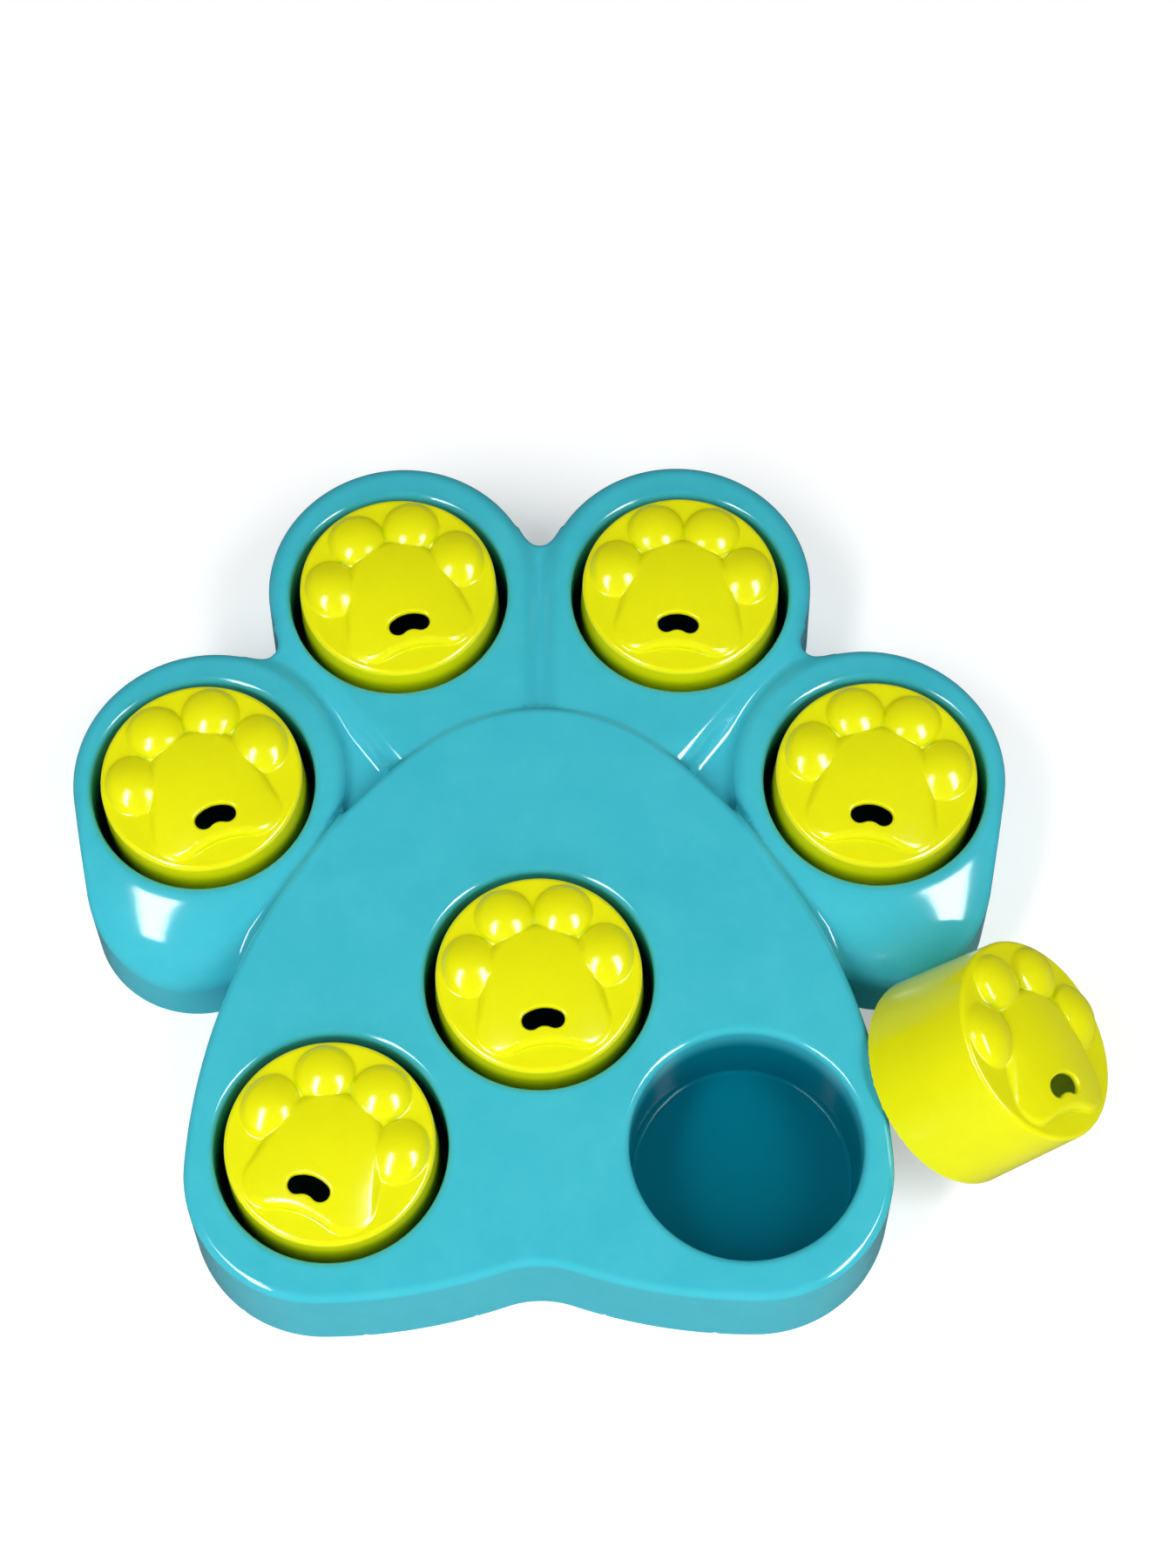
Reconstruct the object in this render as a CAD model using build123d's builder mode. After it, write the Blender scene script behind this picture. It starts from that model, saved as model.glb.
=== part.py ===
from build123d import *
import os
from math import acos, atan2, cos, degrees, hypot, radians, sin, sqrt, tan

# Pet puzzle toy: a hollow paw-shaped tray with seven round wells, each covered by a cup-shaped lid.
# Millimetres. Origin on the floor under the axis of the centre well, +Y towards the toes, +Z up.

# Tray
PAD_TOP = 40.0
TOE_TOP = 39.0
WEB_TOP = 35.5
WALL = 2.4
DRAFT = 2.0
PAD_ROUND = 2.5
TOE_ROUND = 4.0

# Wells
WELL_RADIUS = 36.3
WELL_FLOOR = 4.9
WELL_DRAFT = 2.0
MOUTH_ROUND = 2.2
FLOOR_ROUND = 0.6

# Wells on the right half of the paw: bearing from the centre well, and the gap between the two rims
OUTER_BEARING = 32.0
OUTER_GAP = 55.9
INNER_BEARING = 71.1
INNER_GAP = 72.1
FRONT_BEARING = -40.4
FRONT_GAP = 11.5

# Plan of the pad, at its top: front notch, lobe, corner, side and rear arcs, all tangent
PAD_NOTCH_RADIUS = 34.0
PAD_LOBE_RADIUS = 178.0
PAD_CORNER_SHIFT = (3.4, -6.8)
PAD_CORNER_MARGIN = 5.4
PAD_SIDE_RADIUS = 190.7
PAD_REAR_RADIUS = 62.2
PAD_REAR_Y = 32.3

# Plan of the toes, at the pad's top: a round end about each well and a tail towards the pad or the front
TOE_MARGIN = 8.0
INNER_TOE_SHIFT = (-0.65, 4.6)
INNER_TAIL_SHIFT = (-23.05, -58.9)
INNER_TAIL_RADIUS = 21.3
OUTER_TOE_SHIFT = (-1.7, 3.4)
OUTER_TAIL_SHIFT = (3.0, -30.6)
OUTER_TAIL_INSET = 2.9
TOE_NOTCH_RADIUS = 8.8
NOTCH_OVERLAP = 0.8

# Outer toe's crown: in front of the well it leaves the rim at a slope and rolls down to the skirt
CROWN_RIM = 2.6
CROWN_SLOPE = 10.0
CROWN_RADIUS = 38.0
SKIRT_TOP = 18.0
CROWN_STEPS = 7

# Lids
LID_RISE = 4.3
LID_CLEARANCE = 0.9
LID_DRAFT = 2.5
LID_WALL = 2.0
LID_ROUND = 1.5

# Paw relief on a lid's face, as shares of the face's radius
RELIEF = 4.5
RELIEF_ROUND = 3.0
HEEL_LOBE_PLAN = (0.375, -0.515)
HEEL_LOBE_SHARE = 0.285
HEEL_TOP_PLAN = (0.0, -0.01)
HEEL_TOP_SHARE = 0.515
HEEL_NOTCH_SHARE = 0.76
INNER_BUMP_PLAN = (0.285, 0.602)
INNER_BUMP_SHARE = (0.278, 0.268)
OUTER_BUMP_PLAN = (0.66, 0.135)
OUTER_BUMP_SHARE = (0.25, 0.335)

# Kidney-shaped treat hole through the heel, as shares of the face's radius
HOLE_CENTRE_PLAN = (0.0, -0.709)
HOLE_ARC_SHARE = 0.231
HOLE_ARC = 60.0
HOLE_WIDTH = 6.0

# Turn of each seated lid about its well, and the pose of the lid that leans on the pad's right side
LID_TURNS = {
    "outer_left": 20,
    "inner_left": 15,
    "inner_right": -4,
    "outer_right": -9,
    "centre": 5,
    "front_left": -20,
}
LEAN_ELEVATION = 50.6
LEAN_AZIMUTH = 7.4
LEAN_TURN = 15.0
LEAN_REACH = 6.6
LEAN_ASIDE = 29.4
LEAN_FLOOR_GAP = 0.31
LEAN_GAP = 0.316
LEAN_STEPS = 4

ON_BASE = (Align.CENTER, Align.CENTER, Align.MIN)


def moved(point, shift):
    """A plan point shifted by a plan vector."""
    return (point[0] + shift[0], point[1] + shift[1])


def scaled(point, factor):
    """A plan point or a pair of sizes times a factor."""
    return (point[0] * factor, point[1] * factor)


def well_at(angle, gap):
    """Axis of a well at a bearing from the centre well, with a gap between their rims."""
    reach = 2 * WELL_RADIUS + gap
    return (reach * cos(radians(angle)), reach * sin(radians(angle)))


outer_well = well_at(OUTER_BEARING, OUTER_GAP)
inner_well = well_at(INNER_BEARING, INNER_GAP)
front_well = well_at(FRONT_BEARING, FRONT_GAP)
toe_radius = WELL_RADIUS + TOE_MARGIN
inner_toe = moved(inner_well, INNER_TOE_SHIFT)
inner_tail = moved(inner_well, INNER_TAIL_SHIFT)
outer_toe = moved(outer_well, OUTER_TOE_SHIFT)
outer_tail = moved(outer_well, OUTER_TAIL_SHIFT)
outer_tail_radius = WELL_RADIUS - OUTER_TAIL_INSET
pad_corner = moved(front_well, PAD_CORNER_SHIFT)
pad_corner_radius = WELL_RADIUS + PAD_CORNER_MARGIN
well_depth = PAD_TOP - WELL_FLOOR
well_floor_radius = WELL_RADIUS - well_depth * tan(radians(WELL_DRAFT))
lid_height = well_depth + LID_RISE
lid_rim_radius = well_floor_radius - LID_CLEARANCE
lid_face_radius = lid_rim_radius - lid_height * tan(radians(LID_DRAFT))


def bearing(start, end):
    """Direction from one plan point to another, in degrees."""
    return degrees(atan2(end[1] - start[1], end[0] - start[0]))


def meeting_centre(first, first_reach, second, second_reach):
    """Point at the given distances from two plan points, to the left of the way between them."""
    gap = hypot(second[0] - first[0], second[1] - first[1])
    along = (first_reach**2 - second_reach**2 + gap**2) / (2 * gap)
    aside = sqrt(first_reach**2 - along**2)
    ux = (second[0] - first[0]) / gap
    uy = (second[1] - first[1]) / gap
    return (first[0] + along * ux - aside * uy, first[1] + along * uy + aside * ux)


def notch_below(circle, radius, notch_radius):
    """Centre of the concave arc on the mirror line that touches a circle and its mirror image from below."""
    reach = radius + notch_radius
    return (0.0, circle[1] - sqrt(reach**2 - circle[0] ** 2))


def pad_outline(grow):
    """Outline of the pad, grown outwards, from tangent arcs on the right and their mirror image."""
    lobe_rise = PAD_LOBE_RADIUS - pad_corner_radius
    lobe = (pad_corner[0], pad_corner[1] + lobe_rise)
    notch = notch_below(lobe, PAD_LOBE_RADIUS, PAD_NOTCH_RADIUS)
    rear = (0.0, PAD_REAR_Y)
    side_to_corner = PAD_SIDE_RADIUS - pad_corner_radius
    side_to_rear = PAD_SIDE_RADIUS - PAD_REAR_RADIUS
    side = meeting_centre(pad_corner, side_to_corner, rear, side_to_rear)
    notch_end = bearing(notch, lobe)
    corner_end = bearing(side, pad_corner)
    side_end = bearing(side, rear)
    with BuildSketch() as outline:
        with BuildLine():
            CenterArc(notch, PAD_NOTCH_RADIUS - grow, 90, notch_end - 90)
            CenterArc(lobe, PAD_LOBE_RADIUS + grow, notch_end - 180, 90 - notch_end)
            CenterArc(pad_corner, pad_corner_radius + grow, -90, corner_end + 90)
            CenterArc(side, PAD_SIDE_RADIUS + grow, corner_end, side_end - corner_end)
            CenterArc(rear, PAD_REAR_RADIUS + grow, side_end, 90 - side_end)
            mirror(about=Plane.YZ)
        make_face()
    return outline.sketch


def oval(first, first_radius, second, second_radius):
    """Outline of two circles joined by their outer tangents."""
    axis = bearing(first, second)
    gap = hypot(second[0] - first[0], second[1] - first[1])
    tangent = degrees(acos((first_radius - second_radius) / gap))
    with BuildSketch() as outline:
        with BuildLine():
            far_end = CenterArc(first, first_radius, axis + tangent, 360 - 2 * tangent)
            near_end = CenterArc(second, second_radius, axis - tangent, 2 * tangent)
            Line(far_end @ 1, near_end @ 0)
            Line(near_end @ 1, far_end @ 0)
        make_face()
    return outline.sketch


def spread(height, inset):
    """How far an outline at a height stands outside its plan at the pad's top."""
    return (PAD_TOP - height) * tan(radians(DRAFT)) - inset


def pad_form(inset):
    """The pad: a drafted block with a rounded top edge, or its hollow when inset by the wall."""
    with BuildPart() as pad:
        for height in (0, PAD_TOP - inset):
            with BuildSketch(Plane.XY.offset(height)):
                add(pad_outline(spread(height, inset)))
        loft(ruled=True)
        if not inset:
            fillet(pad.faces().sort_by(Axis.Z)[-1].edges(), PAD_ROUND)
    return pad.part


def inner_toe_form(inset):
    """An inner toe: a drafted petal that runs in under the pad."""
    with BuildPart() as toe:
        for height in (0, TOE_TOP - inset):
            grow = spread(height, inset)
            with BuildSketch(Plane.XY.offset(height)):
                add(oval(inner_toe, toe_radius + grow, inner_tail, INNER_TAIL_RADIUS + grow))
        loft(ruled=True)
        if not inset:
            fillet(toe.faces().sort_by(Axis.Z)[-1].edges(), TOE_ROUND)
    return toe.part


def crown_reach(height):
    """How far the crown reaches from the outer well's axis at a height, as a share of the way to the front."""
    rim = WELL_RADIUS + CROWN_RIM
    front = outer_well[1] - outer_tail[1] + outer_tail_radius
    centre = rim - CROWN_RADIUS * sin(radians(CROWN_SLOPE))
    rise = height - TOE_TOP + CROWN_RADIUS * cos(radians(CROWN_SLOPE))
    reach = centre + sqrt(CROWN_RADIUS**2 - rise**2)
    return min((reach - rim) / (front - rim), 1)


def outer_toe_form(inset):
    """An outer toe: a stack of ovals whose front draws back to the well's rim and whose rear edge is rounded."""
    rim = WELL_RADIUS + CROWN_RIM
    flat = (TOE_TOP - inset) / TOE_TOP
    heights = [0]
    for step in range(CROWN_STEPS + 1):
        heights.append(SKIRT_TOP + (TOE_TOP - SKIRT_TOP) * sin(radians(90 * step / CROWN_STEPS)))
    with BuildPart() as toe:
        for height in heights:
            grow = spread(height, inset)
            share = crown_reach(height)
            edge = max(height - TOE_TOP + TOE_ROUND, 0)
            roll = TOE_ROUND - sqrt(TOE_ROUND**2 - edge**2)
            front = moved(scaled(outer_tail, share), scaled(outer_well, 1 - share))
            front_radius = share * outer_tail_radius + (1 - share) * rim
            with BuildSketch(Plane.XY.offset(height * flat)):
                add(oval(outer_toe, toe_radius + grow - roll, front, front_radius + grow))
        loft(ruled=True)
    return toe.part


def web_form(inset):
    """The low web between neighbouring toes, with a rounded notch at its outer end."""
    reach = toe_radius - NOTCH_OVERLAP + TOE_NOTCH_RADIUS
    middle_notch = (0.0, inner_toe[1] + sqrt(reach**2 - inner_toe[0] ** 2))
    side_notch = meeting_centre(inner_toe, reach, outer_toe, reach)
    with BuildPart() as web:
        with BuildSketch():
            with BuildLine():
                Polyline((0, 0), (0, middle_notch[1]), inner_toe, side_notch, outer_toe, (0, 0))
            make_face()
            with Locations(middle_notch, side_notch):
                Circle(TOE_NOTCH_RADIUS + inset, mode=Mode.SUBTRACT)
        extrude(amount=WEB_TOP - inset)
    return web.part


def paw_form(inset):
    """The whole paw as one solid, or its hollow when inset by the wall."""
    with BuildPart() as paw:
        add(inner_toe_form(inset))
        add(outer_toe_form(inset))
        add(web_form(inset))
        mirror(about=Plane.YZ)
        add(pad_form(inset))
    return paw.part


well_axes = {
    "outer_left": (-outer_well[0], outer_well[1]),
    "inner_left": (-inner_well[0], inner_well[1]),
    "inner_right": inner_well,
    "outer_right": outer_well,
    "centre": (0, 0),
    "front_left": (-front_well[0], front_well[1]),
    "front_right": front_well,
}


def well_radius_at(height):
    """Radius of a well's drafted wall at a height."""
    return WELL_RADIUS - (PAD_TOP - height) * tan(radians(WELL_DRAFT))


def well_form():
    """The space of one well, from its floor to above the tray, with a rounded corner at the floor."""
    with BuildPart() as well:
        with Locations((0, 0, WELL_FLOOR)):
            Cone(well_floor_radius, well_radius_at(PAD_TOP + WALL), well_depth + WALL, align=ON_BASE)
        fillet(well.faces().sort_by(Axis.Z)[0].edges(), FLOOR_ROUND)
    return well.part


# Tray: the paw hollowed from below, with a cup for each well
cup_bottom = WELL_FLOOR - WALL
cup_top = TOE_TOP - WALL / 2
cup_bottom_radius = well_radius_at(cup_bottom) + WALL
cup_top_radius = well_radius_at(cup_top) + WALL
with BuildPart() as tray:
    add(paw_form(0))
    add(paw_form(WALL), mode=Mode.SUBTRACT)
    for x, y in well_axes.values():
        with Locations((x, y, cup_bottom)):
            Cone(cup_bottom_radius, cup_top_radius, cup_top - cup_bottom, align=ON_BASE)
    for x, y in well_axes.values():
        add(well_form().moved(Location((x, y, 0))), mode=Mode.SUBTRACT)
    circles = tray.edges().filter_by(GeomType.CIRCLE)
    mouths = circles.filter_by(lambda edge: edge.is_closed and edge.arc_center.Z > cup_top)
    fillet(mouths, MOUTH_ROUND)


def heel_outline():
    """Heel pad of the relief: two lobes, a rounded top and a shallow notch between the lobes."""
    lobe = scaled(HEEL_LOBE_PLAN, lid_face_radius)
    lobe_radius = HEEL_LOBE_SHARE * lid_face_radius
    top = scaled(HEEL_TOP_PLAN, lid_face_radius)
    top_radius = HEEL_TOP_SHARE * lid_face_radius
    notch_radius = HEEL_NOTCH_SHARE * lid_face_radius
    notch = notch_below(lobe, lobe_radius, notch_radius)
    gap = hypot(top[0] - lobe[0], top[1] - lobe[1])
    side = bearing(lobe, top) - degrees(acos((lobe_radius - top_radius) / gap))
    notch_end = bearing(notch, lobe)
    with BuildSketch() as outline:
        with BuildLine():
            CenterArc(notch, notch_radius, 90, notch_end - 90)
            lobe_arc = CenterArc(lobe, lobe_radius, notch_end - 180, side - notch_end + 180)
            top_arc = CenterArc(top, top_radius, side, 90 - side)
            Line(lobe_arc @ 1, top_arc @ 0)
            mirror(about=Plane.YZ)
        make_face()
    return outline.sketch


def heel_form():
    """Raised heel pad of the relief, standing on the lid's face."""
    with BuildPart() as heel:
        with BuildSketch(Plane.XY.offset(lid_height - LID_WALL / 2)):
            add(heel_outline())
        extrude(amount=RELIEF + LID_WALL / 2)
        fillet(heel.faces().sort_by(Axis.Z)[-1].edges(), RELIEF_ROUND)
    return heel.part


def bump_form(plan, share, hand):
    """Raised toe bump of the relief on one hand: an oval pillow standing on the lid's face."""
    with BuildPart() as bump:
        with BuildSketch(Plane.XY.offset(lid_height - LID_WALL / 2)):
            with Locations((hand * plan[0] * lid_face_radius, plan[1] * lid_face_radius)):
                Ellipse(share[0] * lid_face_radius, share[1] * lid_face_radius)
        extrude(amount=RELIEF + LID_WALL / 2)
        fillet(bump.faces().sort_by(Axis.Z)[-1].edges(), RELIEF_ROUND)
    return bump.part


# Lid: a drafted cup, open below, with a raised paw and a treat hole on its closed face
with BuildPart() as lid:
    Cone(lid_rim_radius, lid_face_radius, lid_height, align=ON_BASE)
    fillet(lid.faces().sort_by(Axis.Z)[-1].edges(), LID_ROUND)
    hollow = lid_height - LID_WALL
    hollow_radius = lid_rim_radius - LID_WALL
    hollow_end = hollow_radius - hollow * tan(radians(LID_DRAFT))
    Cone(hollow_radius, hollow_end, hollow, align=ON_BASE, mode=Mode.SUBTRACT)
    add(heel_form())
    for hand in (-1, 1):
        add(bump_form(INNER_BUMP_PLAN, INNER_BUMP_SHARE, hand))
        add(bump_form(OUTER_BUMP_PLAN, OUTER_BUMP_SHARE, hand))
    with BuildSketch(Plane.XY.offset(lid_height - 2 * LID_WALL)):
        with BuildLine(mode=Mode.PRIVATE):
            hole_centre = scaled(HOLE_CENTRE_PLAN, lid_face_radius)
            hole_line = CenterArc(hole_centre, HOLE_ARC_SHARE * lid_face_radius, 90 - HOLE_ARC / 2, HOLE_ARC)
        SlotArc(hole_line, HOLE_WIDTH)
    extrude(amount=RELIEF + 3 * LID_WALL, mode=Mode.SUBTRACT)


def leaning_place(elevation):
    """Pose of the loose lid: the foot of its rim by the floor, the top of its rim over the pad's edge."""
    run = lid_rim_radius * sin(radians(elevation))
    height = lid_rim_radius * cos(radians(elevation)) + LEAN_FLOOR_GAP
    x = pad_corner[0] + pad_corner_radius - LEAN_REACH + run * cos(radians(LEAN_AZIMUTH))
    y = pad_corner[1] + LEAN_ASIDE + run * sin(radians(LEAN_AZIMUTH))
    tilt = Location((0, 0, 0), (0, 90 - elevation, 0))
    return Location((x, y, height), (0, 0, LEAN_AZIMUTH)) * tilt * Location((0, 0, 0), (0, 0, LEAN_TURN))


os.makedirs("parts", exist_ok=True)
tray.part.label = "tray"
export_step(tray.part, "parts/tray.step")

lid_places = {}
for name, turn in LID_TURNS.items():
    lid_places[name] = Location((*well_axes[name], WELL_FLOOR), (0, 0, turn))
# The loose lid tilts until only its resting gap to the tray is left
lean_elevation = LEAN_ELEVATION
for settling in range(LEAN_STEPS):
    slack = lid.part.moved(leaning_place(lean_elevation)).distance_to(tray.part) - LEAN_GAP
    lean_elevation += degrees(slack / (2 * lid_rim_radius))
lid_places["front_right"] = leaning_place(lean_elevation)
for name, place in lid_places.items():
    placed = lid.part.moved(place)
    placed.label = "lid_" + name
    export_step(placed, "parts/lid_" + name + ".step")
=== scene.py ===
import math

import bpy
import numpy as np
from mathutils import Matrix, Vector


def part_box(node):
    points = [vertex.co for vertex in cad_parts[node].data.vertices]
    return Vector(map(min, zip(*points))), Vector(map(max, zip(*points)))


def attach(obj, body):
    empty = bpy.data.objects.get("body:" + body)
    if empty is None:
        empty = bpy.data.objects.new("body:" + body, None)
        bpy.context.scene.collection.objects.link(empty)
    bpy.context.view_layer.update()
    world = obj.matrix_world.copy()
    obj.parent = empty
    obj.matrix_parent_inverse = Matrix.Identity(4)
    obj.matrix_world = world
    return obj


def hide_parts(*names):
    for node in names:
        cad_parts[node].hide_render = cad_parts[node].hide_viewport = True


# Pet puzzle toy: a hollow paw-shaped tray with seven round wells, and a cup lid for each well.
# Sizes of the object are in millimetres; meshes, lights and the camera are in metres.
MM = 0.001

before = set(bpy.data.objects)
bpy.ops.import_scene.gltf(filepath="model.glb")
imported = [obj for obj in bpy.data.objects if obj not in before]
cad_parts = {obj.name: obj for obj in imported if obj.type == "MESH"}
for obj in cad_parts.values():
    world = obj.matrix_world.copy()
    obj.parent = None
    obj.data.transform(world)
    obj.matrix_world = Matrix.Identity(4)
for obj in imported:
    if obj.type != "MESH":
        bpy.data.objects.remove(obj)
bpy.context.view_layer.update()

# Tray
PAD_TOP, TOE_TOP = 40.0, 39.0
WALL = 2.4
DRAFT = math.radians(2.0)
WELL_RADIUS, WELL_FLOOR, WELL_DRAFT = 36.3, 4.9, math.radians(2.0)
PAD_ROUND, TOE_ROUND, OUTER_ROUND, SKIRT_ROUND = 2.5, 5.5, 4.5, 1.6
MOUTH_ROUND, FLOOR_ROUND, WEB_ROUND = 2.2, 1.2, 2.0
VALLEY_FILLET, OUTER_FILLET, CUP_FILLET = 3.5, 3.0, 0.8
NOTCH_RADIUS, NOTCH_OVERLAP = 8.8, 0.8

# Wells of the right half: bearing from the centre well in degrees, and the gap between the two rims
OUTER_BEARING, OUTER_GAP = 32.0, 55.9
INNER_BEARING, INNER_GAP = 71.1, 72.1
FRONT_BEARING, FRONT_GAP = -40.4, 11.5


def polar(angle, reach):
    return np.array([reach * math.cos(math.radians(angle)), reach * math.sin(math.radians(angle))])


OUTER = polar(OUTER_BEARING, 2 * WELL_RADIUS + OUTER_GAP)
INNER = polar(INNER_BEARING, 2 * WELL_RADIUS + INNER_GAP)
FRONT = polar(FRONT_BEARING, 2 * WELL_RADIUS + FRONT_GAP)
WELLS = {
    "outer_left": OUTER * (-1, 1),
    "inner_left": INNER * (-1, 1),
    "inner_right": INNER,
    "outer_right": OUTER,
    "centre": np.zeros(2),
    "front_left": FRONT * (-1, 1),
    "front_right": FRONT,
}

# Toes of the right half: a round end about the well and a tail towards the pad or the front
TOE_MARGIN = 8.0
TOE_RADIUS = WELL_RADIUS + TOE_MARGIN
INNER_TOE = INNER + (-0.65, 4.6)
INNER_TAIL = INNER + (-23.05, -58.9)
INNER_TAIL_RADIUS = 21.3
OUTER_TOE = OUTER + (-1.7, 3.4)
OUTER_TAIL = OUTER + (3.0, -30.6)
OUTER_TAIL_INSET = 2.9
OUTER_TAIL_RADIUS = WELL_RADIUS - OUTER_TAIL_INSET
FRONT_WAY = (OUTER_TAIL - OUTER) / np.hypot(*(OUTER_TAIL - OUTER))

# An inner toe's top falls away beyond this reach from its well, and only near the toe's own edge
TAIL_REACH, TAIL_FALL = 45.0, 0.0045
TAIL_EDGE_START, TAIL_EDGE_END = -16, -4

# Outer toe's crown, in front of its well; frontness tells its front from its sides
CROWN_MARGIN = 2.6
CROWN_RIM, CROWN_SLOPE, CROWN_RADIUS = WELL_RADIUS + CROWN_MARGIN, math.radians(10.0), 38.0
CROWN_CENTRE = CROWN_RIM - CROWN_RADIUS * math.sin(CROWN_SLOPE)
CROWN_BASE = TOE_TOP - CROWN_RADIUS * math.cos(CROWN_SLOPE)
CROWN_END = 0.985
CROWN_SIDE, CROWN_FRONT = -0.15, 0.75
SKIRT_SIDE, SKIRT_FRONT = 0.1, 0.6

# Webs between the toes: level between the inner ones, falling along the valley beside them
MIDDLE_WEB_TOP = 35.2
SIDE_WEB_TOP, SIDE_WEB_FALL, SIDE_WEB_POWER, SIDE_WEB_END = 36.0, 4.8, 1.8, 1.2
VALLEY_LOW, VALLEY_HIGH = np.array([58.0, 66.0]), np.array([94.4, 111.0])

# The pad's foot: a fillet by the step down to the toes, which count in full up to just inside their edges
PAD_FILLET_SHARE, PAD_FILLET_LEAST, PAD_FILLET_MOST = 0.7, 0.7, 4.5
TOE_FADE_SLOPE, TOE_FADE_INSET = 2, 2

# Pad: front notch, lobe, corner, side and rear arcs
CORNER_MARGIN = 5.4
CORNER = FRONT + (3.4, -6.8)
CORNER_RADIUS = WELL_RADIUS + CORNER_MARGIN
LOBE_RADIUS, PAD_NOTCH_RADIUS, SIDE_RADIUS, REAR_RADIUS = 178.0, 34.0, 190.7, 62.2
REAR = np.array([0.0, 32.3])
LOBE = CORNER + (0.0, LOBE_RADIUS - CORNER_RADIUS)

# Lids
LID_RISE, LID_CLEARANCE = 4.3, 0.9
LID_HEIGHT = PAD_TOP - WELL_FLOOR + LID_RISE
LID_DRAFT = math.radians(2.5)
LID_WALL, LID_ROUND, LID_HOLLOW_ROUND, LID_LIP_ROUND = 2.0, 1.5, 1.0, 0.3
LID_RIM = WELL_RADIUS - (PAD_TOP - WELL_FLOOR) * math.tan(WELL_DRAFT) - LID_CLEARANCE
HOLE_Y, HOLE_ARC_RADIUS, HOLE_HALF_ARC, HOLE_WIDTH = -23.0, 7.5, math.radians(30.0), 6.0
HOLE_ROUND = 0.9
LID_TURNS = {
    "outer_left": 20,
    "inner_left": 15,
    "inner_right": -4,
    "outer_right": -9,
    "centre": 5,
    "front_left": -20,
}

# The loose lid leans on the pad's right side: its angles in degrees, its highest rim point from the pad's
# corner, and the gap under its lowest rim point
LEAN_ELEVATION, LEAN_AZIMUTH, LEAN_TURN = 50.6, 7.4, 15.0
LEAN_INSET, LEAN_ALONG, LEAN_LIFT = 6.6, 29.4, 0.31

# Paw relief on a lid's face: a heel that falls away from its crest, and four domed bumps
RELIEF = 4.5
HEEL_LOBE, HEEL_LOBE_RADIUS = np.array([12.3, -16.8]), 9.3
HEEL_TOP, HEEL_TOP_RADIUS = np.array([0.0, -0.3]), 16.8
HEEL_NOTCH_RADIUS = 24.7
HEEL_NOTCH_DROP = math.sqrt((HEEL_LOBE_RADIUS + HEEL_NOTCH_RADIUS) ** 2 - HEEL_LOBE[0] ** 2)
HEEL_NOTCH = np.array([0.0, HEEL_LOBE[1] - HEEL_NOTCH_DROP])
HEEL_SQUEEZE = 0.96
HEEL_CREST_Y = -4
HEEL_SIDE_FALL, HEEL_REAR_FALL, HEEL_FRONT_FALL = 0.008, 0.006, 0.003
HEEL_ROUND, HEEL_ROUND_LOSS = 3.2, 0.9
HEEL_FRONT_START, HEEL_FRONT_END = -12, -20
INNER_BUMP, INNER_BUMP_SIZE = np.array([9.3, 19.6]), (9.1, 8.9)
OUTER_BUMP, OUTER_BUMP_SIZE = np.array([21.4, 4.4]), (8.2, 11.0)
BUMP_GROWTH, BUMP_DOME, BUMP_ROUND = 1.1, 28.0, 3.2
CREASE_FILLET, RELIEF_FILLET, RECESS_FILLET = 0.4, 0.45, 0.5

# Fields: negative inside, close to a distance in millimetres near the surface
NOTHING_NEAR = 1e6
TINY = 1e-6


def near_edge(a, b, r):
    """Both half spaces at once, their common edge rounded."""
    return np.minimum(np.maximum(a, b), -r) + np.hypot(np.maximum(a + r, 0), np.maximum(b + r, 0))


def joined(a, b, r):
    """Either of two bodies, with a fillet where they meet."""
    return np.maximum(np.minimum(a, b), r) - np.hypot(np.maximum(r - a, 0), np.maximum(r - b, 0))


def smoothstep(low, high, value):
    t = np.clip((value - low) / (high - low), 0, 1)
    return t * t * (3 - 2 * t)


def circle(x, y, centre, radius):
    return np.hypot(x - centre[0], y - centre[1]) - radius


def oval(x, y, a, ra, b, rb):
    """Two circles joined by their outer tangents."""
    way = b - a
    gap = np.hypot(*way)
    ux, uy = way / gap
    along = (x - a[0]) * ux + (y - a[1]) * uy
    aside = np.abs((y - a[1]) * ux - (x - a[0]) * uy)
    s = (ra - rb) / gap
    c = math.sqrt(1 - s * s)
    k = along * c - aside * s
    far = np.hypot(aside, along - gap) - rb
    side = aside * c + along * s - ra
    return np.where(k < 0, np.hypot(aside, along) - ra, np.where(k > c * gap, far, side))


def ellipse(x, y, centre, size):
    px, py = (x - centre[0]) / size[0], (y - centre[1]) / size[1]
    k = np.hypot(px, py)
    g = np.hypot(px / size[0], py / size[1])
    return k * (k - 1) / np.maximum(g, TINY)


def bearing(a, b):
    return math.degrees(math.atan2(b[1] - a[1], b[0] - a[0]))


def arc_outline(x, y, arcs):
    """Closed outline of tangent arcs, mirrored about x = 0.

    An arc is its centre, its radius, negative where hollow, and its start and end in degrees.
    """
    x = np.abs(x)
    best = None
    for centre, radius, start, end in arcs:
        dx, dy = x - centre[0], y - centre[1]
        turn = np.mod(np.degrees(np.arctan2(dy, dx)) - start, 360)
        d = np.hypot(dx, dy) - abs(radius)
        d = d if radius > 0 else -d
        d = np.where(turn <= end - start + TINY, d, NOTHING_NEAR)
        best = d if best is None else np.where(np.abs(d) < np.abs(best), d, best)
    return best


def meeting(a, ra, b, rb):
    """Where two circles cross, to the left of the way from a to b."""
    way = b - a
    gap = np.hypot(*way)
    u = way / gap
    along = (ra**2 - rb**2 + gap**2) / (2 * gap)
    return a + along * u + math.sqrt(ra**2 - along**2) * np.array([-u[1], u[0]])


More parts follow.
